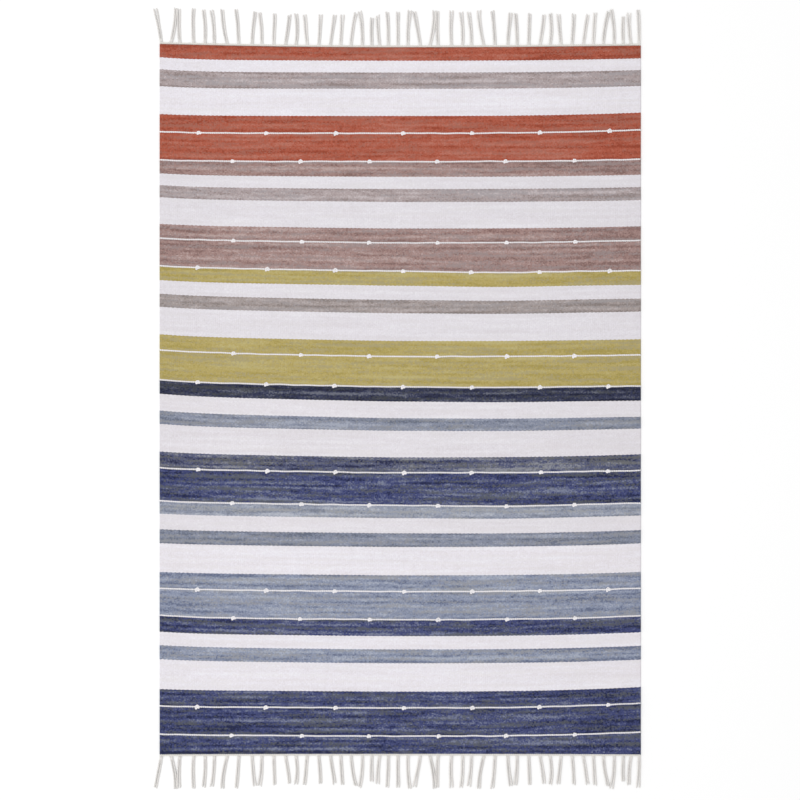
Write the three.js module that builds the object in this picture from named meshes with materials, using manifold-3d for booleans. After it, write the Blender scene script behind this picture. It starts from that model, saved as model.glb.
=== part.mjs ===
// An outdoor rug: one flat-woven striped cloth, lying flat, with a knotted fringe along each short end.
// Millimetres, +Z up. The cloth's underside lies on z = 0, and the middle of that underside is the origin.
// +X runs across the rug, along the weft. +Y runs along the warp, towards the end with the red stripes.

import * as THREE from 'three';
import { mergeVertices } from 'three/addons/utils/BufferGeometryUtils.js';
import Module from 'manifold-3d';

// Cloth
const CLOTH_WIDTH = 1200;
const CLOTH_LENGTH = 1762; // along the middle of the rug, without the fringe
const CLOTH_THICKNESS = 4.5;
const EDGE_ROUNDING = 1;
const BOW_STEPS = 12; // straight pieces in each half of a bowed end

// Each end bows: left and right are how far its corners stand out past its middle
const RED_END = { outwards: 1, left: 8.5, right: 4.5 };
const BLUE_END = { outwards: -1, left: 1.5, right: 1.5 };

// Fringe: a heading of twined warp ends along the cloth, and the knotted tassels that leave it
const PIECE_GAP = 0.3;
const HEADING_WIDTH = 5;
const TASSEL_WIDTH = 8.5;
const TASSEL_HEIGHT = 5;
const TASSEL_STEPS = 3;
const TASSEL_FLAT = 0.5; // the flat top and underside of a tassel, as a share of its width

// gap: from the tassel before it, or from the cloth's left side. lean: how far the tip lies to the right
// of the base. bend: how far the middle lies to the right of a straight tassel. length: past the cloth.
const TASSELS = [
  { gap: 4, lean: -16, bend: 1, length: 87 },
  { gap: 24, lean: 12, bend: 3, length: 89 },
  { gap: 22, lean: -2, bend: -1, length: 87 },
  { gap: 35, lean: 0, bend: -2, length: 88 },
  { gap: 28, lean: -4, bend: 2, length: 86 },
  { gap: 23, lean: -7, bend: 2, length: 85 },
  { gap: 33, lean: -13, bend: -3, length: 89 },
  { gap: 28, lean: -7, bend: 1, length: 89 },
  { gap: 33, lean: 8, bend: -1, length: 83 },
  { gap: 24, lean: -5, bend: 2, length: 82 },
  { gap: 30, lean: 3, bend: 0, length: 80 },
  { gap: 29, lean: 11, bend: 1, length: 77 },
  { gap: 26, lean: 0, bend: 4, length: 80 },
  { gap: 29, lean: -7, bend: 0, length: 79 },
  { gap: 28, lean: 5, bend: 1, length: 79 },
  { gap: 29, lean: 12, bend: 0, length: 78 },
  { gap: 26, lean: 5, bend: 0, length: 80 },
  { gap: 26, lean: 13, bend: -2, length: 83 },
  { gap: 28, lean: -7, bend: 3, length: 87 },
  { gap: 24, lean: 0, bend: -1, length: 72 },
  { gap: 20, lean: -5, bend: -2, length: 78 },
  { gap: 21, lean: -3, bend: 1, length: 87 },
  { gap: 24, lean: 0, bend: 0, length: 87 },
  { gap: 25, lean: 5, bend: -2, length: 89 },
];

// The tassels are spaced by the same table twice, a little closer together the second time
const RUNS = [
  { spacing: 1, count: 24 },
  { spacing: 0.964, count: 22 },
];
const GAP_BETWEEN_RUNS = 28;

const COLOURS = {
  cloth: 0xb9b4ba,
  fringe: 0xdcd7d2,
};

const wasm = await Module();
wasm.setup();

// How far an end of the cloth stands from the rug's middle at x: each half of it is a parabola
function endAt({ left, right }, x) {
  const corner = x < 0 ? left : right;
  return CLOTH_LENGTH / 2 + corner * (x / (CLOTH_WIDTH / 2)) ** 2;
}

// The heights in y of a line that follows an end of the cloth, at a distance out from it
function lineAlong(end, out) {
  return {
    left: end.outwards * (endAt(end, -CLOTH_WIDTH / 2) + out),
    middle: end.outwards * (endAt(end, 0) + out),
    right: end.outwards * (endAt(end, CLOTH_WIDTH / 2) + out),
  };
}

// The outline between two such lines. A curve's control point lies level with the middle, halfway out.
function outlineBetween(first, second) {
  const half = CLOTH_WIDTH / 2;
  const shape = new THREE.Shape();
  shape.moveTo(-half, first.left);
  shape.quadraticCurveTo(-half / 2, first.middle, 0, first.middle);
  shape.quadraticCurveTo(half / 2, first.middle, half, first.right);
  shape.lineTo(half, second.right);
  shape.quadraticCurveTo(half / 2, second.middle, 0, second.middle);
  shape.quadraticCurveTo(-half / 2, second.middle, -half, second.left);
  shape.closePath();
  return shape;
}

// A flat sheet with a rounded edge, from its outline, with its underside on z = 0
function sheet(shape) {
  const geometry = new THREE.ExtrudeGeometry(shape, {
    depth: CLOTH_THICKNESS - 2 * EDGE_ROUNDING,
    curveSegments: BOW_STEPS,
    bevelThickness: EDGE_ROUNDING,
    bevelSize: EDGE_ROUNDING,
    bevelOffset: -EDGE_ROUNDING,
    bevelSegments: 1,
  });
  return geometry.translate(0, 0, EDGE_ROUNDING);
}

// The woven cloth, from end to end and from selvedge to selvedge
function clothGeometry() {
  return sheet(outlineBetween(lineAlong(BLUE_END, 0), lineAlong(RED_END, 0)));
}

// The heading: a narrow band that follows the end of the cloth, a small gap away from it
function headingGeometry(end) {
  return sheet(outlineBetween(lineAlong(end, PIECE_GAP), lineAlong(end, PIECE_GAP + HEADING_WIDTH)));
}

// A tassel's cut, a flat hexagon: its height runs along the shape's x, as it is swept along the tassel
function tasselCut() {
  const halfHeight = TASSEL_HEIGHT / 2;
  const halfWidth = TASSEL_WIDTH / 2;
  const halfFlat = halfWidth * TASSEL_FLAT;
  return new THREE.Shape([
    new THREE.Vector2(-halfHeight, -halfFlat),
    new THREE.Vector2(0, -halfWidth),
    new THREE.Vector2(halfHeight, -halfFlat),
    new THREE.Vector2(halfHeight, halfFlat),
    new THREE.Vector2(0, halfWidth),
    new THREE.Vector2(-halfHeight, halfFlat),
  ]);
}

function tasselGeometry(end, x, { lean, bend, length }) {
  const z = TASSEL_HEIGHT / 2;
  const root = endAt(end, x) + PIECE_GAP + HEADING_WIDTH / 2;
  const tip = endAt(end, x) + length;
  const path = new THREE.QuadraticBezierCurve3(
    new THREE.Vector3(x, end.outwards * root, z),
    new THREE.Vector3(x + lean / 2 + 2 * bend, end.outwards * (root + tip) / 2, z),
    new THREE.Vector3(x + lean, end.outwards * tip, z),
  );
  return new THREE.ExtrudeGeometry(tasselCut(), { steps: TASSEL_STEPS, extrudePath: path });
}

// Where each tassel leaves the cloth, with its row of the table
function tasselPlaces() {
  const places = [];
  let x = -CLOTH_WIDTH / 2;
  RUNS.forEach(({ spacing, count }, run) => {
    TASSELS.slice(0, count).forEach((tassel, index) => {
      const firstOfLaterRun = run > 0 && index === 0;
      x += spacing * (firstOfLaterRun ? GAP_BETWEEN_RUNS + tassel.gap : tassel.gap);
      places.push({ x, tassel });
    });
  });
  return places;
}

function toManifold(geometry) {
  const plain = geometry.clone();
  plain.deleteAttribute('normal');
  plain.deleteAttribute('uv');
  const merged = mergeVertices(plain);
  return new wasm.Manifold(new wasm.Mesh({
    numProp: 3,
    vertProperties: new Float32Array(merged.attributes.position.array),
    triVerts: new Uint32Array(merged.index.array),
  }));
}

function fromManifold(solid) {
  const mesh = solid.getMesh();
  const geometry = new THREE.BufferGeometry();
  geometry.setAttribute('position', new THREE.BufferAttribute(new Float32Array(mesh.vertProperties), 3));
  geometry.setIndex(new THREE.BufferAttribute(new Uint32Array(mesh.triVerts), 1));
  const faceted = geometry.toNonIndexed();
  faceted.computeVertexNormals();
  return faceted;
}

// One comb: the heading with every tassel joined to it
function fringeGeometry(end) {
  const heading = toManifold(headingGeometry(end));
  const tassels = tasselPlaces().map(({ x, tassel }) => toManifold(tasselGeometry(end, x, tassel)));
  return fromManifold(tassels.reduce((comb, tassel) => comb.add(tassel), heading));
}

function material(colour) {
  return new THREE.MeshStandardMaterial({ color: colour, roughness: 0.95, metalness: 0 });
}

function piece(name, geometry, colour) {
  const mesh = new THREE.Mesh(geometry, material(colour));
  mesh.name = name;
  return mesh;
}

const rug = new THREE.Group();
rug.add(piece('woven_cloth', clothGeometry(), COLOURS.cloth));
rug.add(piece('fringe_red_end', fringeGeometry(RED_END), COLOURS.fringe));
rug.add(piece('fringe_blue_end', fringeGeometry(BLUE_END), COLOURS.fringe));

export default rug;
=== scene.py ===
"""An outdoor rug: a striped flat weave with thin knotted cords across it and a knotted fringe at each end.

Lengths are in millimetres and become metres where a mesh is made. +Y points to the end with the red stripes,
and "down" is the distance from that end along the middle of the rug.
"""

import math

import bpy
import numpy as np
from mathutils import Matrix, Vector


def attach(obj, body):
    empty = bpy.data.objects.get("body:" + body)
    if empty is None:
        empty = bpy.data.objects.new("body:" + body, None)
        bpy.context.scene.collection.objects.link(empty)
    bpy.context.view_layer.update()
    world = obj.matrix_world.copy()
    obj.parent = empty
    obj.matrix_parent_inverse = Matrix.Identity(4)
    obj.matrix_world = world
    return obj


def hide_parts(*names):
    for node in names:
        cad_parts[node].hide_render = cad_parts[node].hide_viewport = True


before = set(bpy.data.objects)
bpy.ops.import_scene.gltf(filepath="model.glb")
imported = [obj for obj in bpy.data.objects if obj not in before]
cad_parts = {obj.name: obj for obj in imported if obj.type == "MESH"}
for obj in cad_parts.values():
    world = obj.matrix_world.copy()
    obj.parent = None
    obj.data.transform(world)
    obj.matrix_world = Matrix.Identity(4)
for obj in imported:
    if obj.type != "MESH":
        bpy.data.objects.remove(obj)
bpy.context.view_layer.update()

MM = 0.001
SEED = 20
random = np.random.default_rng(SEED)

# The cloth, as in the CAD model. Each end bows: left and right are how far its corners stand out.
CLOTH_WIDTH = 1200
CLOTH_LENGTH = 1762
HALF_WIDTH = CLOTH_WIDTH / 2
HALF_LENGTH = CLOTH_LENGTH / 2
RED_END = {"outwards": 1, "left": 8.5, "right": 4.5}
BLUE_END = {"outwards": -1, "left": 1.5, "right": 1.5}

# The weave. A pick is one pass of the weft, and every second pick shows on a warp. The warps wander a
# little, a few of them together.
TASSEL_COUNT = 46
WARPS_TO_A_TASSEL = 5
WARP_COUNT = TASSEL_COUNT * WARPS_TO_A_TASSEL
WARP_PITCH = CLOTH_WIDTH / WARP_COUNT
WARP_WANDER = 0.6
WARPS_TOGETHER = 5
PICK_PITCH = 3.0

# The relief of the cloth: a rib over each warp, teeth along each stripe's edge and soft unevenness
CREST = 4.5
GROOVE_DEPTH = 0.45
RIB_POINTS = (0, 0.3, 0.7)
STRIPE_TEETH = 0.8
PLAIN_END = 5
UNEVENNESS_COLUMNS = ("height", "size", "seed")
UNEVENNESS = [
    (0.35, 130, 5),
    (0.25, 35, 6),
]
WAVE_COUNT = 14
WAVE_SIZES = (0.6, 1.8)

# The mesh of the cloth: its rows, its rounded sides and ends, and its flat underside
ROW_SPACING = 16
END_ROWS = (0.5, 1.5)
SIDE_ROUNDING = 2.2
END_ROUNDING = 1.5
ROUNDED_ABOVE = 1.6
UNDERSIDE_COLUMNS = 7
UNDERSIDE_INSET = 0.8

# The fringe, as in the CAD model
PIECE_GAP = 0.3
HEADING_WIDTH = 5

# gap: from the tassel before it, or from the cloth's left side. lean: how far the tip lies to the right
# of the base. bend: how far the middle lies to the right of a straight tassel. length: past the cloth.
TASSEL_COLUMNS = ("gap", "lean", "bend", "length")
TASSELS = [
    (4, -16, 1, 87),
    (24, 12, 3, 89),
    (22, -2, -1, 87),
    (35, 0, -2, 88),
    (28, -4, 2, 86),
    (23, -7, 2, 85),
    (33, -13, -3, 89),
    (28, -7, 1, 89),
    (33, 8, -1, 83),
    (24, -5, 2, 82),
    (30, 3, 0, 80),
    (29, 11, 1, 77),
    (26, 0, 4, 80),
    (29, -7, 0, 79),
    (28, 5, 1, 79),
    (29, 12, 0, 78),
    (26, 5, 0, 80),
    (26, 13, -2, 83),
    (28, -7, 3, 87),
    (24, 0, -1, 72),
    (20, -5, -2, 78),
    (21, -3, 1, 87),
    (24, 0, 0, 87),
    (25, 5, -2, 89),
]

# The tassels are spaced by the same table twice, a little closer together the second time
RUNS = [{"spacing": 1, "count": 24}, {"spacing": 0.964, "count": 22}]
GAP_BETWEEN_RUNS = 28

# The yarns, in screen colours: most of the yarn, its pale and its dark streaks, and where its colour is weak
YARN_COLUMNS = ("main", "fleck", "deep", "grey")
YARNS = {
    "bright_white": ((233, 229, 236), (237, 235, 241), (228, 223, 228), (231, 227, 231)),
    "soft_white": ((226, 222, 228), (231, 228, 233), (221, 216, 221), (224, 220, 224)),
    "terracotta": ((174, 89, 68), (183, 115, 98), (149, 67, 46), (163, 103, 88)),
    "warm_grey": ((174, 160, 160), (195, 185, 187), (145, 132, 130), (164, 157, 160)),
    "mid_grey": ((163, 152, 149), (184, 174, 174), (134, 124, 121), (156, 150, 151)),
    "mauve": ((162, 133, 128), (184, 162, 158), (131, 103, 98), (154, 139, 138)),
    "olive": ((181, 164, 101), (187, 175, 122), (166, 150, 82), (168, 157, 120)),
    "dark_navy": ((50, 54, 82), (106, 109, 122), (24, 28, 50), (68, 70, 74)),
    "navy": ((65, 72, 118), (122, 128, 150), (30, 36, 70), (88, 91, 96)),
    "worn_navy": ((84, 89, 120), (140, 142, 150), (38, 42, 72), (102, 103, 104)),
    "blue_grey": ((135, 141, 159), (163, 168, 183), (103, 110, 127), (145, 146, 151)),
    "light_blue": ((150, 156, 173), (180, 184, 195), (120, 126, 142), (160, 161, 164)),
    "blue": ((141, 149, 171), (170, 176, 191), (102, 111, 136), (150, 151, 156)),
}

# Streaks along the rows, from noise. length: of a streak. spread: how much the noise changes from row to
# row. offset: where in the noise they start. The light ones shift the yarn between its dark, main and pale
# colours, and the last of them are single specks. The grey ones weaken its colour.
STREAK_COLUMNS = ("length", "spread", "offset", "weight")
LIGHT_STREAKS = [
    (640, 0.3, 3.3, 0.85),
    (130, 0.35, 20.9, 0.65),
    (27, 0.45, 40.7, 0.5),
    (6, 2.9, 81.1, 0.75),
]
GREY_STREAKS = [
    (330, 0.3, 120.9, 0.75),
    (60, 0.4, 160.3, 0.6),
    (9, 1.7, 210.7, 0.75),
]
ALL_DARK_OR_PALE = 0.33
GREY_BETWEEN = (-0.05, 0.25)
MOST_GREY = 0.85

# The fibres of the yarn slant over each stitch
FIBRE_SLANT = {"down": 2.6, "across": 0.9}
FIBRE_NOISE = {"across": 0.35, "pick": 7.7}
FIBRE_LIGHT = 0.3

# The yarn is darker beside each stripe's edge, along the last rows of the blue end and along both sides of
# the rug. width: over how far. shade: how much more of its dark colour shows. dimming: how much darker all
# of it is.
BORDER = {"width": 4, "shade": 0.05}
LAST_ROWS = {"width": 12, "shade": 0.14}
SIDES = {"left_width": 230, "right_width": 380, "shade": 0.11, "dimming": 0.014}

# The tone of the face: broad patches, specks and fibres, and painted shade in the hollows round each
# stitch, with its crest painted a little lighter. Then its relief.
PATCH = {"across": 260, "down": 30}
TONE = {"patch": 0.06, "specks": 0.08, "fibre": 0.14}
STITCH_POINT = 0.14
STITCH_ROUNDING = 3.0
STITCH_SIDE = 0.5
STITCH_PAINTED_SHADE = {"crest": 1.02, "rim": 0.08}
RELIEF = {"twist": 0.12, "twist_turns": 1.6, "fibre": 0.4, "height": 0.4}

# One row for each repeat of the stripes, from the red end. The widths are along the middle of the rug.
# A white cord lies at the end of the upper part and of the lower part of each broad stripe.
REPEATS = [
    {
        "narrow": (33.7, "terracotta"),
        "gap": (29.4, "bright_white"),
        "accent": (40.5, "warm_grey"),
        "rest": (67.8, "bright_white"),
        "upper": (43.2, "terracotta"),
        "lower": (70.5, "terracotta"),
    },
    {
        "narrow": (37.9, "mauve"),
        "gap": (30.6, "soft_white"),
        "accent": (32.0, "warm_grey"),
        "rest": (66.2, "soft_white"),
        "upper": (35.7, "mauve"),
        "lower": (70.2, "mauve"),
    },
    {
        "narrow": (36.5, "olive"),
        "gap": (35.5, "soft_white"),
        "accent": (33.1, "mid_grey"),
        "rest": (69.1, "soft_white"),
        "upper": (38.9, "olive"),
        "lower": (75.4, "olive"),
    },
    {
        "narrow": (36.6, "dark_navy"),
        "gap": (41.5, "soft_white"),
        "accent": (31.5, "blue_grey"),
        "rest": (66.5, "soft_white"),
        "upper": (38.1, "worn_navy"),
        "lower": (81.0, "navy"),
    },
    {
        "narrow": (31.9, "light_blue"),
        "gap": (38.0, "soft_white"),
        "accent": (34.2, "blue_grey"),
        "rest": (70.6, "bright_white"),
        "upper": (40.4, "blue"),
        "lower": (70.0, "blue"),
    },
    {
        "narrow": (41.1, "navy"),
        "gap": (33.2, "bright_white"),
        "accent": (34.5, "blue"),
        "rest": (70.5, "bright_white"),
        "upper": (40.6, "navy"),
        "lower": (70.2, "navy"),
    },
]
LAST_STRIPE = "navy"

# How far the weft rows stand up at the cloth's left and right side, how much of the left rise comes only
# close to the side (hook), and how far the rows dip right of the middle
BOW_COLUMNS = ("down", "left", "hook", "right", "dip")
BOWS = [
    (40, 9, 0.8, 6, 0),
    (170, 5, 0.9, 8.5, 0),
    (214, 4, 0.9, 9, 0),
    (284, 4.5, 0.8, 6, 0),
    (340, 10.5, 0.5, 5, 0),
    (400, 13, 0.4, 4.5, 0),
    (488, 12.5, 0.3, 6.5, 0),
    (558, 14.2, 0.3, 1, 4),
    (660, 17.5, 0.3, 4, 2),
    (771, 18, 0.3, 4.2, 0),
    (846, 19, 0.3, 2, 2),
    (900, 21.5, 0.3, 2, 2),
    (961, 18.5, 0.3, 5.5, 1),
    (1022, 16, 0.3, 8, 0),
    (1061, 13.5, 0.3, 6, 0),
    (1141, 12, 0.3, 5.5, 3),
    (1250, 10.5, 0.3, 9, 0),
    (1355, 8.5, 0.3, 8.5, 0),
    (1425, 12, 0.5, 10, 0),
    (1520, 11.5, 0.4, 9, 0),
    (1645, 5, 0.4, 12.2, 0),
    (1717, 5.7, 0.5, 10, 0),
]
END_ZONE = 40
HOOK_POWER = 7
RIGHT_POWER = 2.8
MIDDLE_BEND = 0.1
DIP_AT = 250
DIP_REACH = 170

# The white cords, of two plies. They wander a little, rise and fall with the warps, and sink into the cloth
# at both sides. A ply's offset is how far its middle lies from the middle of its cord.
PLY_CORNERS = 6
CORD_PLY = {"radius": 1.2, "offset": 1.08}
CORD_TWIST = 11
CORD_STEP = 1.0
CORD_INSET = 0.6
CORD_HEIGHT = 4.8
CORD_WAVE = 0.45
CORD_WANDER = {"width": 0.4, "size": 45, "seed": 9}
CORD_SINKS = {"width": 3, "to": 2.4}
CORD_SHADES = (-0.1, 0.3)

# The knots in them. A cord's knots start at one of two places.
KNOT_SPACING = 170.6
FIRST_KNOTS = {"early": 96, "late": 182}
KNOT_STARTS = [
    ("early", "late"),
    ("late", "early"),
    ("late", "early"),
    ("early", "late"),
    ("early", "late"),
    ("early", "late"),
]
KNOT_FROM_SIDE = 20
KNOT_JITTER = 2.5
KNOT_PLY = {"radius": 1.05, "offset": 0.84}
KNOT_HEIGHT = 6.0
KNOT_SHAPE = (2.1, 1.7, 0.5)
KNOT_STEP = 0.085
KNOT_SIZES = (0.92, 1.14)
KNOT_TURNS = (8, 26)
KNOT_SHADES = (0.6, 1.0)
OVERHAND_END = 1.95

# A tassel: two cords side by side, of two plies each, through one knot. Past the knot each cord lies further
# from the tassel's middle, within a share of the way to the tip, and it spreads on towards the tip.
TASSEL_PLY = {"radius": 1.2, "offset": 1.14}
TASSEL_TWIST = 9
TASSEL_STEP = 1.5
KNOT_FROM_CLOTH = 8
CORD_FROM_MIDDLE = {"at_knot": 1.62, "past_knot": 2.34, "within": 1 / 12}
TIP_SPREADS = (0.1, 1.4)
SWAY = 0.5
SWAY_LENGTHS = (9, 14)
SWAY_PHASES = (0, 6)
SHORTER_CORDS = (0, 3)
SHORTER_PLIES = (0, 2)
TIP_TAPER = {"length": 2.5, "to": 0.55}
ABOVE_GROUND = 0.05
TASSEL_SHADES = (0.2, 0.8)
TASSEL_KNOT = {"radius": 1.15, "shape": (1.3, 0.9, 0.5), "step": 0.12, "height": 3.4, "lowest": 1.5}
TASSEL_KNOT_SHADES = (0.3, 0.7)
THICK_PLY_CORNERS = 7

# How much longer the tassels are than in the CAD model
LONGER = {"red": 5.5, "blue": -0.5}

# The heading: two strands twined along each end, at the blue end a little over the cloth's edge, where they
# rise by a share of how far they lie on it
HEADING_PLY = {"radius": 1.4, "offset": 1.25}
HEADING_STEP = 1.3
HEADING_INSET = 1
HEADING_HEIGHT = 2.9
HEADING_RISE = 1 / 3
HEADING_SHADE = 0.5
HEADING_ON_CLOTH = {"red": 0.0, "blue": 1.6}

# Yarn apart from the weft: its colour, and how much its plies differ in tone. Then its fibres and patches.
WHITE_CORD = {"colour": (243, 240, 242), "variation": 0.12}
FRINGE_YARN = {"colour": (231, 228, 225), "variation": 0.2}
HEADING_YARN = {"colour": (229, 226, 220), "variation": 0.12}
YARN_FIBRE = {"to_a_metre": 2600, "tone": 0.14, "height": 0.25}
YARN_PATCH = {"to_a_metre": 90, "tone": 0.16}

# The camera looks straight down. The photograph's frame is this wide on the floor.
FRAME_WIDTH = 1993.6
FRAME_MIDDLE = (-0.6, 1.8)
LENS = 85
SENSOR = 36
CLIP_END_METRES = 100

# The floor, a little below the rug, is almost plain
FLOOR_HALF = 30000
FLOOR_DROP = 0.3
FLOOR_TONE = 0.983
FLOOR_CLOUD = {"to_a_metre": 3.0, "tone": 0.006}

# Soft light from all round, with a broad, soft key light from the left, in metres and watts
DOME_LIGHT = 0.76
KEY_PLACE = (-3.2, 0.2, 7.0)
KEY_SIZE = 5
KEY_POWER = 211

UP = np.array([0.0, 0.0, 1.0])


def screen_to_linear(colour):
    """A screen colour from 0 to 255 as linear light."""
    value = np.asarray(colour, float) / 255
    return np.where(value <= 0.04045, value / 12.92, ((value + 0.055) / 1.055) ** 2.4)


def rows_of(table, columns):
    """Each row of a table as a dictionary."""
    return [dict(zip(columns, row)) for row in table]


def smooth(share):
    """A share from 0 to 1, eased at both ends."""
    return share * share * (3 - 2 * share)


def eased(at, places, values):
    """Values at places, with a smooth rise from each to the next."""
    places, values = np.asarray(places, float), np.asarray(values, float)
    at = np.clip(at, places[0], places[-1])
    index = np.clip(np.searchsorted(places, at, side="right") - 1, 0, len(places) - 2)
    share = smooth((at - places[index]) / (places[index + 1] - places[index]))
    return values[index] + share * (values[index + 1] - values[index])


def waves(x, y, size, seed):
    """Smooth random unevenness about 0, from crossing waves about size long."""
    draws = np.random.default_rng(seed)
    total = np.zeros(np.broadcast(x, y).shape)
    for _ in range(WAVE_COUNT):
        heading = draws.uniform(0, 2 * math.pi)
        turns = 2 * math.pi / (size * draws.uniform(*WAVE_SIZES))
        phase = draws.uniform(0, 2 * math.pi)
        total += np.sin(turns * (x * math.cos(heading) + y * math.sin(heading)) + phase)
    return total / math.sqrt(WAVE_COUNT)


# The lines of the rug


def end_at(end, x):
    """How far an end of the cloth stands from the rug's middle at x."""
    corner = np.where(x < 0, end["left"], end["right"])
    return HALF_LENGTH + corner * (x / HALF_WIDTH) ** 2


def from_sides(x):
    """How far x lies in from the nearer side of the cloth."""
    return np.minimum(x + HALF_WIDTH, HALF_WIDTH - x)


def row_height(x, down):
    """Where the weft row that crosses the rug's middle at down lies at x, in y."""
    x, down = np.broadcast_arrays(np.asarray(x, float), np.asarray(down, float))
    places, *columns = zip(*BOWS)
    bow = {name: eased(down, places, column) for name, column in zip(BOW_COLUMNS[1:], columns)}
    reach = np.abs(x) / HALF_WIDTH
    slope = np.sqrt(reach**2 + MIDDLE_BEND**2) - MIDDLE_BEND
    on_left = bow["left"] * (slope + bow["hook"] * (reach**HOOK_POWER - slope))
    on_right = bow["right"] * reach**RIGHT_POWER
    dip = bow["dip"] * np.exp(-(((x - DIP_AT) / DIP_REACH) ** 2))
    bowed = np.where(x < 0, on_left, on_right) - dip
    ends = (
        (down, end_at(RED_END, x) - HALF_LENGTH),
        (CLOTH_LENGTH - down, HALF_LENGTH - end_at(BLUE_END, x)),
    )
    for from_end, edge in ends:
        bowed = bowed + smooth(np.clip(1 - from_end / END_ZONE, 0, 1)) * (edge - bowed)
    return HALF_LENGTH - down + bowed


def stripes():
    """Every stripe as (start, end, yarn), and where the white cords lie."""
    found, cords, down = [], [], 0
    for repeat in REPEATS:
        for part, (width, yarn) in repeat.items():
            found.append((down, down + width, yarn))
            down += width
            if part in ("upper", "lower"):
                cords.append(down)
    found.append((down, CLOTH_LENGTH, LAST_STRIPE))
    return found, cords


# Meshes


class Heap:
    """Points and faces of many parts, to be joined as one mesh."""

    def __init__(self):
        self.points = []
        self.faces = []
        self.shades = []
        self.count = 0

    def add(self, points, faces, shade):
        self.points.append(points)
        self.faces.extend([[corner + self.count for corner in face] for face in faces])
        self.shades.append(np.full(len(points), shade))
        self.count += len(points)

    def build(self, name, material):
        mesh = new_mesh(name, np.concatenate(self.points), self.faces)
        add_to_points(mesh, "shade", "FLOAT", "value", np.concatenate(self.shades))
        return new_piece(name, mesh, material)


def new_mesh(name, points, faces):
    mesh = bpy.data.meshes.new(name)
    mesh.from_pydata((np.asarray(points) * MM).tolist(), [], faces)
    mesh.polygons.foreach_set("use_smooth", np.ones(len(mesh.polygons), bool))
    mesh.update()
    return mesh


def new_piece(name, mesh, material):
    mesh.materials.append(material)
    piece = bpy.data.objects.new(name, mesh)
    bpy.context.scene.collection.objects.link(piece)
    return piece


def add_to_points(mesh, name, kind, field, values):
    """Gives each point of a mesh a number or a vector, for its material."""
    layer = mesh.attributes.new(name, kind, "POINT")
    layer.data.foreach_set(field, values.astype(np.float32).ravel())


def sides_of(path):
    """The sideways and upward directions along a path."""
    along = np.gradient(path, axis=0)
    along /= np.linalg.norm(along, axis=1)[:, None]
    side = np.cross(along, UP)
    side /= np.linalg.norm(side, axis=1)[:, None]
    return side, np.cross(side, along)


def tube(path, radius, corners):
    """A closed tube along a path, as points and faces."""
    side, up = sides_of(path)
    angle = np.linspace(0, 2 * math.pi, corners, endpoint=False)
    ring = np.cos(angle)[None, :, None] * side[:, None, :] + np.sin(angle)[None, :, None] * up[:, None, :]
    radius = np.broadcast_to(radius, len(path))
    points = (path[:, None, :] + radius[:, None, None] * ring).reshape(-1, 3)
    first = np.arange(len(path) - 1)[:, None] * corners
    here, after = np.arange(corners), (np.arange(corners) + 1) % corners
    quads = [first + here, first + here + corners, first + after + corners, first + after]
    faces = np.stack(quads, axis=-1).reshape(-1, 4).tolist()
    last = (len(path) - 1) * corners
    faces.append(list(range(corners)))
    faces.append(list(range(last + corners - 1, last - 1, -1)))
    return points, faces


def distance_along(path):
    steps = np.linalg.norm(np.diff(path, axis=0), axis=1)
    return np.concatenate([[0], np.cumsum(steps)])


def ply(path, offset, pitch, phase):
    """The line of one ply that winds round a path."""
    side, up = sides_of(path)
    angle = 2 * math.pi * distance_along(path) / pitch + phase
    return path + offset * (np.cos(angle)[:, None] * side + np.sin(angle)[:, None] * up)


def add_two_plies(heap, path, size, phase, shades):
    """Two plies of a white cord, wound round a path. Each differs a little in tone."""
    for half_turn in (0, math.pi):
        strand = ply(path, size["offset"], CORD_TWIST, phase + half_turn)
        heap.add(*tube(strand, size["radius"], PLY_CORNERS), random.uniform(*shades))


def overhand(step):
    """The line of an overhand knot, about four units wide, its middle at the origin."""
    t = np.arange(-OVERHAND_END, OVERHAND_END + step / 2, step)
    loop = np.stack([-(t**3 - 3 * t), t**4 - 4 * t**2, t**5 / 5 - 2 * t], axis=-1)
    return loop - (loop.max(axis=0) + loop.min(axis=0)) / 2


# Materials


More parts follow.
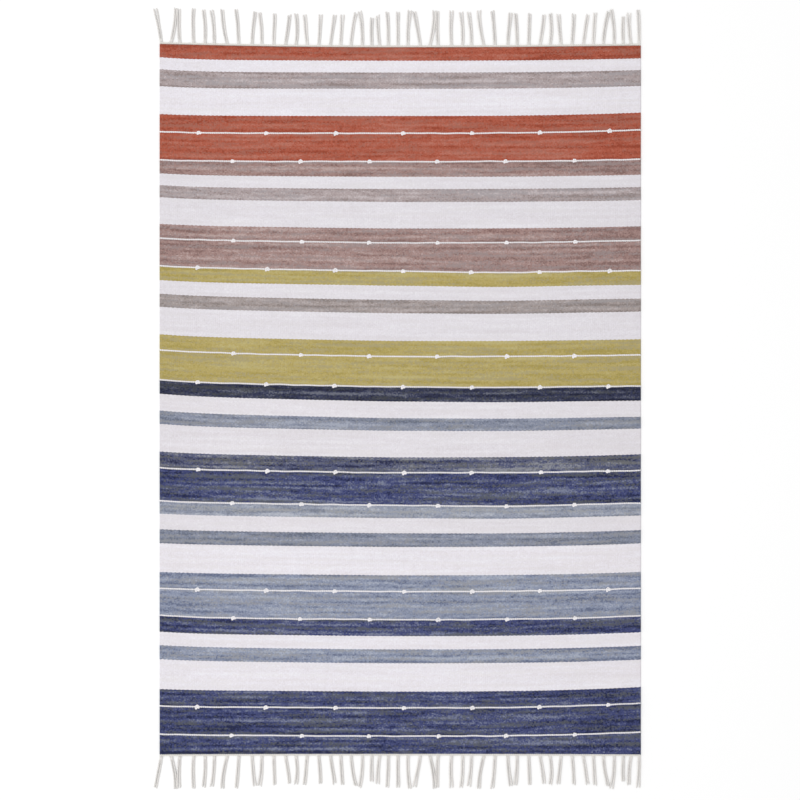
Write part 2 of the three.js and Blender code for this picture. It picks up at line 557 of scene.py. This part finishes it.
class Nodes:
    """Makes a material's nodes in short calls."""

    def __init__(self, name):
        self.material = bpy.data.materials.new(name)
        self.material.use_nodes = True
        self.tree = self.material.node_tree
        self.shader = self.tree.nodes["Principled BSDF"]

    def node(self, kind, **settings):
        node = self.tree.nodes.new("ShaderNode" + kind)
        for key, value in settings.items():
            setattr(node, key, value)
        return node

    def feed(self, socket, value):
        if isinstance(value, bpy.types.NodeSocket):
            self.tree.links.new(value, socket)
        else:
            socket.default_value = value

    def math(self, operation, *values):
        node = self.node("Math", operation=operation)
        for socket, value in zip(node.inputs, values):
            self.feed(socket, value)
        return node.outputs[0]

    def plus(self, first, second):
        return self.math("ADD", first, second)

    def minus(self, first, second):
        return self.math("SUBTRACT", first, second)

    def times(self, first, second):
        return self.math("MULTIPLY", first, second)

    def over(self, first, second):
        return self.math("DIVIDE", first, second)

    def total(self, start, *parts):
        """A start plus (value, weight) pairs."""
        for value, weight in parts:
            start = self.plus(start, self.times(value, weight))
        return start

    def attribute(self, name):
        return self.node("Attribute", attribute_name=name, attribute_type="GEOMETRY").outputs

    def vector(self, x, y):
        node = self.node("CombineXYZ")
        for socket, value in zip(node.inputs, (x, y)):
            self.feed(socket, value)
        return node.outputs[0]

    def noise(self, vector, scale=1.0, detail=1.0, dimensions="2D"):
        """Noise about 0."""
        node = self.node("TexNoise", noise_dimensions=dimensions)
        self.feed(node.inputs["Vector"], vector)
        self.feed(node.inputs["Scale"], scale)
        self.feed(node.inputs["Detail"], detail)
        return self.minus(node.outputs["Fac"], 0.5)

    def span(self, value, low, high, to_low=0.0, to_high=1.0):
        """A smooth change from to_low at low to to_high at high."""
        node = self.node("MapRange", interpolation_type="SMOOTHSTEP")
        for socket, number in zip(node.inputs, (value, low, high, to_low, to_high)):
            self.feed(socket, number)
        return node.outputs[0]

    def mix(self, share, first, second, blend="MIX"):
        node = self.node("Mix", data_type="RGBA", blend_type=blend)
        self.feed(node.inputs["Factor"], share)
        self.feed(node.inputs[6], first)
        self.feed(node.inputs[7], second)
        return node.outputs[2]

    def grey(self, value):
        """A number as a colour."""
        node = self.node("CombineColor")
        for socket in node.inputs:
            self.feed(socket, value)
        return node.outputs[0]

    def toned(self, colour, tone):
        """A colour multiplied by a number."""
        return self.mix(1.0, colour, self.grey(tone), "MULTIPLY")

    def finish(self, colour, height, distance, roughness, sheen):
        bump = self.node("Bump")
        self.feed(bump.inputs["Height"], height)
        self.feed(bump.inputs["Distance"], distance)
        self.feed(self.shader.inputs["Base Color"], colour)
        self.feed(self.shader.inputs["Normal"], bump.outputs[0])
        self.shader.inputs["Roughness"].default_value = roughness
        self.shader.inputs["Specular IOR Level"].default_value = 0.25
        self.shader.inputs["Sheen Weight"].default_value = sheen
        self.shader.inputs["Sheen Roughness"].default_value = 0.5
        return self.material


def stitch_places(n, warp, down):
    """Which pick shows, where in its row, from -0.5 to 0.5, and how far from the nearest groove.

    The groove between two columns of stitches runs in a zigzag, so each stitch is widest in its middle, and
    every second column lies half a row lower.
    """
    groove = n.math("FLOOR", n.plus(warp, 0.5))
    side = n.minus(1.0, n.times(n.math("MODULO", groove, 2.0), 2.0))
    turn = n.math("COSINE", n.times(down, 2 * math.pi / PICK_PITCH))
    groove_line = n.plus(groove, n.times(n.times(side, turn), STITCH_POINT))
    from_groove = n.math("ABSOLUTE", n.minus(warp, groove_line))
    column = n.plus(n.minus(groove, 1.0), n.math("GREATER_THAN", warp, groove_line))
    lower = n.times(n.math("MODULO", column, 2.0), 0.5)
    rows = n.plus(n.over(down, PICK_PITCH), lower)
    in_row = n.minus(n.math("FRACT", rows), 0.5)
    pick = n.minus(n.math("FLOOR", rows), lower)
    return pick, in_row, from_groove


def streaks(n, across, pick, table):
    """(noise, weight) of each row of a table of streaks."""
    found = []
    for streak in rows_of(table, STREAK_COLUMNS):
        along = n.over(across, streak["length"])
        up = n.plus(n.times(pick, streak["spread"]), streak["offset"])
        found.append((n.noise(n.vector(along, up)), streak["weight"]))
    return found


def edge_shades(n, down):
    """How much darker the yarn is beside a stripe's edge and along its last rows."""
    beside_edge = n.span(n.attribute("border")["Fac"], 0.0, BORDER["width"], BORDER["shade"], 0.0)
    start = CLOTH_LENGTH - LAST_ROWS["width"]
    last_rows = n.span(down, start, start + LAST_ROWS["width"] / 2, 0.0, LAST_ROWS["shade"])
    return n.plus(beside_edge, last_rows)


def nearness_to_sides(n, across):
    """1 at the cloth's left and right side, down to 0 further in."""
    left = n.span(across, 0.0, SIDES["left_width"], 1.0, 0.0)
    right = n.span(across, CLOTH_WIDTH - SIDES["right_width"], CLOTH_WIDTH)
    return n.plus(left, right)


def yarn_colour(n, light, greyness):
    """The colour of the yarn: dark, main or pale by its light, and weaker by its greyness."""
    main, fleck, deep, grey = (n.attribute(column)["Color"] for column in YARN_COLUMNS)
    colour = n.mix(n.span(light, -ALL_DARK_OR_PALE, 0.0), deep, main)
    colour = n.mix(n.span(light, 0.0, ALL_DARK_OR_PALE), colour, fleck)
    return n.mix(n.span(greyness, *GREY_BETWEEN, 0.0, MOST_GREY), colour, grey)


def stitch_rim(n, in_row, from_groove):
    """From 0 in the middle of a stitch to 1 where it goes under its neighbours."""
    to_side = n.math("MAXIMUM", n.minus(1.0, n.times(from_groove, 2.0)), 0.0)
    to_side = n.math("POWER", to_side, STITCH_ROUNDING)
    to_edge = n.math("POWER", n.times(n.math("ABSOLUTE", in_row), 2.0), STITCH_ROUNDING)
    return n.math("MAXIMUM", n.times(to_side, STITCH_SIDE), to_edge)


def weft_material():
    """The face of the weave: stitches of heathered yarn."""
    n = Nodes("weft_yarn")
    place = n.node("SeparateXYZ")
    n.feed(place.inputs[0], n.attribute("weave")["Vector"])
    warp, down = place.outputs[0], place.outputs[1]
    across = n.times(warp, WARP_PITCH)
    pick, in_row, from_groove = stitch_places(n, warp, down)
    near_side = nearness_to_sides(n, across)
    slant = n.minus(n.times(down, FIBRE_SLANT["down"]), n.times(across, FIBRE_SLANT["across"]))
    along_fibre = n.plus(n.times(across, FIBRE_NOISE["across"]), n.times(pick, FIBRE_NOISE["pick"]))
    fibre = n.noise(n.vector(along_fibre, slant), detail=2.0)

    light_streaks = streaks(n, across, pick, LIGHT_STREAKS)
    specks, _ = light_streaks[-1]
    light = n.total(0.0, *light_streaks, (fibre, FIBRE_LIGHT), (near_side, -SIDES["shade"]))
    light = n.minus(light, edge_shades(n, down))
    greyness = n.total(0.0, *streaks(n, across, pick, GREY_STREAKS))
    colour = yarn_colour(n, light, greyness)

    patch = n.noise(n.vector(n.over(across, PATCH["across"]), n.over(down, PATCH["down"])), detail=2.0)
    tone = n.total(1.0, (patch, TONE["patch"]), (near_side, -SIDES["dimming"]))
    tone = n.total(tone, (specks, TONE["specks"]), (fibre, TONE["fibre"]))
    rim = stitch_rim(n, in_row, from_groove)
    # Painted shade: each stitch is darker towards its rim, where it goes under its neighbours, and a little
    # lighter on its crest
    tone = n.times(tone, n.minus(STITCH_PAINTED_SHADE["crest"], n.times(rim, STITCH_PAINTED_SHADE["rim"])))

    twist = n.math("SINE", n.times(slant, RELIEF["twist_turns"]))
    height = n.total(n.minus(1.0, rim), (twist, RELIEF["twist"]), (fibre, RELIEF["fibre"]))
    return n.finish(n.toned(colour, tone), height, RELIEF["height"] * MM, roughness=0.93, sheen=0.12)


def cord_material(name, yarn):
    """Plied yarn with fine fibres along it, a little uneven in tone from ply to ply."""
    n = Nodes(name)
    place = n.node("TexCoord").outputs["Object"]
    fibre = n.noise(place, YARN_FIBRE["to_a_metre"], 2.0, "3D")
    patch = n.noise(place, YARN_PATCH["to_a_metre"], 2.0, "3D")
    shade = n.minus(n.attribute("shade")["Fac"], 0.5)
    tone = n.total(1.0, (shade, yarn["variation"]), (patch, YARN_PATCH["tone"]), (fibre, YARN_FIBRE["tone"]))
    plain = (*screen_to_linear(yarn["colour"]), 1.0)
    return n.finish(n.toned(plain, tone), fibre, YARN_FIBRE["height"] * MM, roughness=0.92, sheen=0.15)


def floor_material():
    n = Nodes("pale_floor")
    cloud = n.noise(n.node("TexCoord").outputs["Object"], FLOOR_CLOUD["to_a_metre"], 1.0, "3D")
    tone = n.total(FLOOR_TONE, (cloud, FLOOR_CLOUD["tone"]))
    n.feed(n.shader.inputs["Base Color"], n.grey(tone))
    n.shader.inputs["Roughness"].default_value = 1.0
    n.shader.inputs["Specular IOR Level"].default_value = 0.0
    return n.material


# The cloth


def row_places(found):
    """Where the mesh has a row: at each stripe's start and, in a wide stripe, in between."""
    places, yarns = [], []
    for start, end, yarn in found:
        count = max(1, math.ceil((end - start) / ROW_SPACING))
        places += list(np.linspace(start, end, count, endpoint=False))
        yarns += [yarn] * count
    last_rows = [CLOTH_LENGTH - row for row in reversed(END_ROWS)]
    places = [0.0, *END_ROWS, *places[1:], *last_rows, float(CLOTH_LENGTH)]
    yarns = [yarns[0]] * len(END_ROWS) + yarns + [yarns[-1]] * len(END_ROWS)
    return np.array(places), yarns


def warp_places():
    """Where each warp's groove lies in x, a little uneven."""
    even = np.linspace(-HALF_WIDTH, HALF_WIDTH, WARP_COUNT + 1)
    draws = random.normal(0, 1, WARP_COUNT + WARPS_TOGETHER)
    wander = WARP_WANDER * np.convolve(draws, np.ones(WARPS_TOGETHER) / WARPS_TOGETHER, "valid")
    wander[[0, -1]] = 0
    return even + wander


def cloth_columns():
    """Which warp each column of the mesh lies on, and where in x."""
    warp = (np.arange(WARP_COUNT)[:, None] + np.array(RIB_POINTS)).ravel()
    warp = np.append(warp, WARP_COUNT)
    return warp, np.interp(warp, np.arange(WARP_COUNT + 1), warp_places())


def roundness(rows, x):
    """How much of its height the cloth has, from 0 at its sides and ends to 1 past their rounding."""
    from_end = np.minimum(rows, CLOTH_LENGTH - rows)
    side = np.clip(from_sides(x) / SIDE_ROUNDING, 0, 1)[None, :]
    end = np.clip(from_end / END_ROUNDING, 0, 1)[:, None]
    return np.sqrt(1 - (1 - np.minimum(side, end)) ** 2)


def cloth_top(rows, warp, x):
    """The points of the upper face, and how far down the rug each lies."""
    in_groove = warp % 1 == 0
    tooth = STRIPE_TEETH * np.where(np.floor(warp) % 2 == 0, 0.5, -0.5)
    toothed = (rows > PLAIN_END) & (rows < CLOTH_LENGTH - PLAIN_END)
    grid_x, down = np.meshgrid(x, rows)
    down = down + np.where(toothed[:, None] & ~in_groove, tooth, 0.0)
    y = row_height(grid_x, down)
    z = CREST - GROOVE_DEPTH * in_groove
    for wave in rows_of(UNEVENNESS, UNEVENNESS_COLUMNS):
        z = z + wave["height"] * waves(grid_x, y, wave["size"], wave["seed"])
    z = ROUNDED_ABOVE + (z - ROUNDED_ABOVE) * roundness(rows, x)
    return np.stack([grid_x, y, z], axis=-1), down


def cloth_underside(rows):
    """The points of the flat lower face, in few columns, and how far down the rug each lies."""
    x = np.linspace(-HALF_WIDTH, HALF_WIDTH, UNDERSIDE_COLUMNS)
    x[0] += UNDERSIDE_INSET
    x[-1] -= UNDERSIDE_INSET
    grid_x, down = np.meshgrid(x, rows)
    return np.stack([grid_x, row_height(grid_x, down), np.zeros_like(grid_x)], axis=-1), down


def end_faces(top, low):
    """Triangles between the many points of an end's upper edge and the few of its lower edge."""
    nearest = np.linspace(0, len(low) - 1, len(top) - 1).round().astype(int)
    switch = np.searchsorted(nearest, np.arange(1, len(low)))
    on_top = np.stack([top[:-1], top[1:], low[nearest]], axis=-1)
    on_low = np.stack([low[1:], low[:-1], top[switch]], axis=-1)
    return np.concatenate([on_top, on_low]).tolist()


def cloth_faces(high, wide, narrow):
    """The faces of the cloth, and the row of the mesh that each lies in."""
    top = np.arange(high * wide).reshape(high, wide)
    low = high * wide + np.arange(high * narrow).reshape(high, narrow)
    bands = {
        "top": (top[:-1, :-1], top[1:, :-1], top[1:, 1:], top[:-1, 1:]),
        "underside": (low[:-1, :-1], low[:-1, 1:], low[1:, 1:], low[1:, :-1]),
        "left": (top[:-1, :1], low[:-1, :1], low[1:, :1], top[1:, :1]),
        "right": (top[:-1, -1:], top[1:, -1:], low[1:, -1:], low[:-1, -1:]),
    }
    faces, face_rows = [], []
    for corners in bands.values():
        band = np.stack(corners, axis=-1)
        faces += band.reshape(-1, 4).tolist()
        face_rows += np.repeat(np.arange(high - 1), band.shape[1]).tolist()
    red_end = end_faces(top[0], low[0])
    blue_end = end_faces(top[-1, ::-1], low[-1, ::-1])
    face_rows += [0] * len(red_end) + [high - 2] * len(blue_end)
    return [*faces, *red_end, *blue_end], face_rows


def cloth_mesh():
    """The cloth: ribs over the warps on top, flat below, rounded at both sides and both ends."""
    found, _ = stripes()
    rows, yarns = row_places(found)
    warp, x = cloth_columns()
    top, top_down = cloth_top(rows, warp, x)
    under, under_down = cloth_underside(rows)
    high, wide = top_down.shape
    narrow = under_down.shape[1]
    faces, face_rows = cloth_faces(high, wide, narrow)
    mesh = new_mesh("rug_cloth", np.concatenate([top.reshape(-1, 3), under.reshape(-1, 3)]), faces)

    # Each point's warp, how far down it lies, and how far its row is from a stripe's edge
    top_warp = np.broadcast_to(warp, top_down.shape)
    under_warp = np.interp(under[..., 0], x, warp)
    on_warp = np.concatenate([top_warp.ravel(), under_warp.ravel()])
    down = np.concatenate([top_down.ravel(), under_down.ravel()])
    weave = np.column_stack([on_warp, down, np.zeros_like(down)])
    add_to_points(mesh, "weave", "FLOAT_VECTOR", "vector", weave)
    edges = np.array([0, *[end for _, end, _ in found]])
    from_edge = np.abs(rows[:, None] - edges).min(axis=1)
    border = np.concatenate([np.repeat(from_edge, wide), np.repeat(from_edge, narrow)])
    add_to_points(mesh, "border", "FLOAT", "value", border)
    paint_yarns(mesh, [yarns[row] for row in face_rows])
    return mesh


def paint_yarns(mesh, yarn_of_face):
    """Gives each corner the colours of its face's yarn."""
    names = list(YARNS)
    which = np.array([names.index(yarn) for yarn in yarn_of_face])
    per_corner = np.repeat(which, np.array([len(face.vertices) for face in mesh.polygons]))
    for number, column in enumerate(YARN_COLUMNS):
        colours = np.array([[*screen_to_linear(YARNS[name][number]), 1.0] for name in names])
        layer = mesh.color_attributes.new(column, "FLOAT_COLOR", "CORNER")
        layer.data.foreach_set("color", colours[per_corner].astype(np.float32).ravel())


# The white cords and their knots


def cord_line(down):
    """The line of a white cord: along its weft row, higher over every second warp."""
    x = np.arange(-HALF_WIDTH + CORD_INSET, HALF_WIDTH - CORD_INSET, CORD_STEP)
    wander = CORD_WANDER["width"] * waves(x, down, CORD_WANDER["size"], CORD_WANDER["seed"])
    y = row_height(x, down) + wander
    wave = CORD_WAVE * np.cos(math.pi * (x + HALF_WIDTH) / WARP_PITCH)
    risen = np.clip(from_sides(x) / CORD_SINKS["width"], 0, 1)
    z = CORD_SINKS["to"] + (CORD_HEIGHT + wave - CORD_SINKS["to"]) * risen
    return np.stack([x, y, z], axis=-1)


def cords_piece(name, downs, material):
    heap = Heap()
    for down in downs:
        phase = random.uniform(0, 2 * math.pi)
        add_two_plies(heap, cord_line(down), CORD_PLY, phase, CORD_SHADES)
    return heap.build(name, material)


def knot_places(cords):
    """(x, down) of every knot."""
    for number, down in enumerate(cords):
        start = KNOT_STARTS[number // 2][number % 2]
        for x in np.arange(FIRST_KNOTS[start], CLOTH_WIDTH - KNOT_FROM_SIDE, KNOT_SPACING):
            yield x - HALF_WIDTH + random.uniform(-KNOT_JITTER, KNOT_JITTER), down


def knots_piece(cords, material):
    heap = Heap()
    for x, down in knot_places(cords):
        size = random.uniform(*KNOT_SIZES)
        turn = math.radians(random.uniform(*KNOT_TURNS))
        cos, sin = math.cos(turn), math.sin(turn)
        loop = overhand(KNOT_STEP) * np.array(KNOT_SHAPE) * size
        turned = loop @ np.array([[cos, sin, 0], [-sin, cos, 0], [0, 0, 1]])
        middle = np.array([x, float(row_height(x, down)), KNOT_HEIGHT])
        add_two_plies(heap, turned + middle, KNOT_PLY, 0, KNOT_SHADES)
    return heap.build("cord_knots", material)


# The fringe


def tassel_places():
    """Where each tassel leaves the cloth, with its row of the table."""
    x = -HALF_WIDTH
    for run, row in enumerate(RUNS):
        for index, tassel in enumerate(rows_of(TASSELS[: row["count"]], TASSEL_COLUMNS)):
            first_of_later_run = run > 0 and index == 0
            gap = tassel["gap"] + (GAP_BETWEEN_RUNS if first_of_later_run else 0)
            x += row["spacing"] * gap
            yield x, tassel


def tassel_line(end, x, tassel, longer):
    """The middle line of a tassel, from inside the heading to its tip."""
    root = float(end_at(end, x)) + PIECE_GAP + HEADING_WIDTH / 2
    tip = float(end_at(end, x)) + tassel["length"] + longer
    start = np.array([x, root])
    control = np.array([x + tassel["lean"] / 2 + 2 * tassel["bend"], (root + tip) / 2])
    stop = np.array([x + tassel["lean"], tip])
    share = np.linspace(0, 1, int((tip - root) / TASSEL_STEP) + 1)[:, None]
    line = (1 - share) ** 2 * start + 2 * share * (1 - share) * control + share**2 * stop
    return line * np.array([1, end["outwards"]])


def tassel_ply(cord, along, length, phase):
    """One ply of a tassel's cord, cut off at a length and thinner at its tip, as points and faces."""
    strand = ply(cord, TASSEL_PLY["offset"], TASSEL_TWIST, phase)
    kept = along <= length
    strand, to_tip = strand[kept], along[kept][-1] - along[kept]
    full = np.clip(to_tip / TIP_TAPER["length"], 0, 1)
    radius = TASSEL_PLY["radius"] * (TIP_TAPER["to"] + (1 - TIP_TAPER["to"]) * full)
    strand[:, 2] = np.maximum(strand[:, 2], radius + ABOVE_GROUND)
    return tube(strand, radius, PLY_CORNERS)


def add_tassel(heap, end, x, tassel, longer):
    """Two cords of two plies, gathered in a knot near the cloth and a little spread at the tip."""
    flat = tassel_line(end, x, tassel, longer)
    middle = np.column_stack([flat, np.full(len(flat), 2 * TASSEL_PLY["radius"])])
    along = distance_along(middle)
    total = along[-1]
    side, _ = sides_of(middle)
    past_knot = np.clip((along - KNOT_FROM_CLOTH) / (total - KNOT_FROM_CLOTH), 0, 1)
    near, far, within = CORD_FROM_MIDDLE.values()
    reach = near + (far - near) * np.clip(past_knot / within, 0, 1)
    reach = reach + random.uniform(*TIP_SPREADS) * past_knot**2
    for hand in (-1, 1):
        sway_length, sway_phase = random.uniform(*SWAY_LENGTHS), random.uniform(*SWAY_PHASES)
        sway = SWAY * np.sin(along / sway_length + sway_phase) * past_knot
        cord = middle + side * (hand * reach + sway)[:, None]
        cord_length = total - random.uniform(*SHORTER_CORDS)
        phase = random.uniform(0, 2 * math.pi)
        for half_turn in (0, math.pi):
            length = cord_length - random.uniform(*SHORTER_PLIES)
            heap.add(*tassel_ply(cord, along, length, phase + half_turn), random.uniform(*TASSEL_SHADES))
    place = int(np.searchsorted(along, KNOT_FROM_CLOTH - HEADING_WIDTH / 2))
    add_tassel_knot(heap, middle[place], middle[place + 1] - middle[place - 1])


def add_tassel_knot(heap, middle, heading):
    """A small overhand knot round the tassel's cords."""
    heading = heading / np.linalg.norm(heading)
    side = np.cross(heading, UP)
    loop = overhand(TASSEL_KNOT["step"]) * np.array(TASSEL_KNOT["shape"])
    placed = loop[:, [1]] * heading + loop[:, [0]] * side + loop[:, [2]] * UP
    placed = placed + np.array([middle[0], middle[1], TASSEL_KNOT["height"]])
    placed[:, 2] = np.maximum(placed[:, 2], TASSEL_KNOT["lowest"])
    heap.add(*tube(placed, TASSEL_KNOT["radius"], THICK_PLY_CORNERS), random.uniform(*TASSEL_KNOT_SHADES))


def fringe_piece(name, end, longer, material):
    heap = Heap()
    for x, tassel in tassel_places():
        add_tassel(heap, end, x, tassel, longer)
    return heap.build(name, material)


def heading_piece(name, end, on_cloth, material):
    """Two strands twined along the end of the cloth, just outside it or a little over its edge."""
    x = np.arange(-HALF_WIDTH + HEADING_INSET, HALF_WIDTH - HEADING_INSET, HEADING_STEP)
    out = end_at(end, x) + HEADING_WIDTH / 2 - on_cloth
    height = HEADING_HEIGHT + HEADING_RISE * on_cloth
    line = np.column_stack([x, end["outwards"] * out, np.full(len(x), height)])
    heap = Heap()
    for half_turn in (0, math.pi):
        strand = ply(line, HEADING_PLY["offset"], 2 * WARP_PITCH, half_turn)
        heap.add(*tube(strand, HEADING_PLY["radius"], THICK_PLY_CORNERS), HEADING_SHADE)
    return heap.build(name, material)


# The surroundings


def make_camera():
    data = bpy.data.cameras.new("camera")
    data.lens = LENS
    data.sensor_width = SENSOR
    camera = bpy.data.objects.new("camera", data)
    distance = FRAME_WIDTH * LENS / SENSOR
    camera.location = (FRAME_MIDDLE[0] * MM, FRAME_MIDDLE[1] * MM, (distance + CREST) * MM)
    data.clip_end = CLIP_END_METRES
    bpy.context.scene.collection.objects.link(camera)
    bpy.context.scene.camera = camera


def make_floor():
    signs = [(-1, -1), (1, -1), (1, 1), (-1, 1)]
    corners = [(x * FLOOR_HALF, y * FLOOR_HALF, -FLOOR_DROP) for x, y in signs]
    floor = new_piece("floor", new_mesh("floor", corners, [[0, 1, 2, 3]]), floor_material())


def make_light():
    world = bpy.data.worlds.new("studio")
    world.use_nodes = True
    background = world.node_tree.nodes["Background"]
    background.inputs["Color"].default_value = (1.0, 1.0, 1.0, 1.0)
    background.inputs["Strength"].default_value = DOME_LIGHT
    bpy.context.scene.world = world
    data = bpy.data.lights.new("soft_key", "AREA")
    data.shape = "DISK"
    data.size = KEY_SIZE
    data.energy = KEY_POWER
    key = bpy.data.objects.new("soft_key", data)
    key.location = KEY_PLACE
    key.rotation_mode = "QUATERNION"
    key.rotation_quaternion = (-Vector(KEY_PLACE)).to_track_quat("-Z", "Y")
    bpy.context.scene.collection.objects.link(key)
    scene = bpy.context.scene
    scene.view_settings.view_transform = "Standard"
    scene.view_settings.look = "None"


# Everything in its place

make_camera()
make_floor()
make_light()

cord_yarn = cord_material("white_cord", WHITE_CORD)
fringe_yarn = cord_material("fringe_yarn", FRINGE_YARN)
heading_yarn = cord_material("heading_yarn", HEADING_YARN)

_, cord_downs = stripes()
half_way = len(cord_downs) // 2
cloth = new_piece("rug_cloth", cloth_mesh(), weft_material())
upper_cords = cords_piece("white_cords_red_half", cord_downs[:half_way], cord_yarn)
lower_cords = cords_piece("white_cords_blue_half", cord_downs[half_way:], cord_yarn)
knots = knots_piece(cord_downs, cord_yarn)
red_fringe = fringe_piece("red_end_tassels", RED_END, LONGER["red"], fringe_yarn)
blue_fringe = fringe_piece("blue_end_tassels", BLUE_END, LONGER["blue"], fringe_yarn)
red_heading = heading_piece("red_end_heading", RED_END, HEADING_ON_CLOTH["red"], heading_yarn)
blue_heading = heading_piece("blue_end_heading", BLUE_END, HEADING_ON_CLOTH["blue"], heading_yarn)

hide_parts("woven_cloth")
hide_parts("fringe_red_end")
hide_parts("fringe_blue_end")
on_cloth = [upper_cords, lower_cords, knots, red_fringe, blue_fringe, red_heading, blue_heading]
for piece in [cloth, *on_cloth]:
    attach(piece, "root")
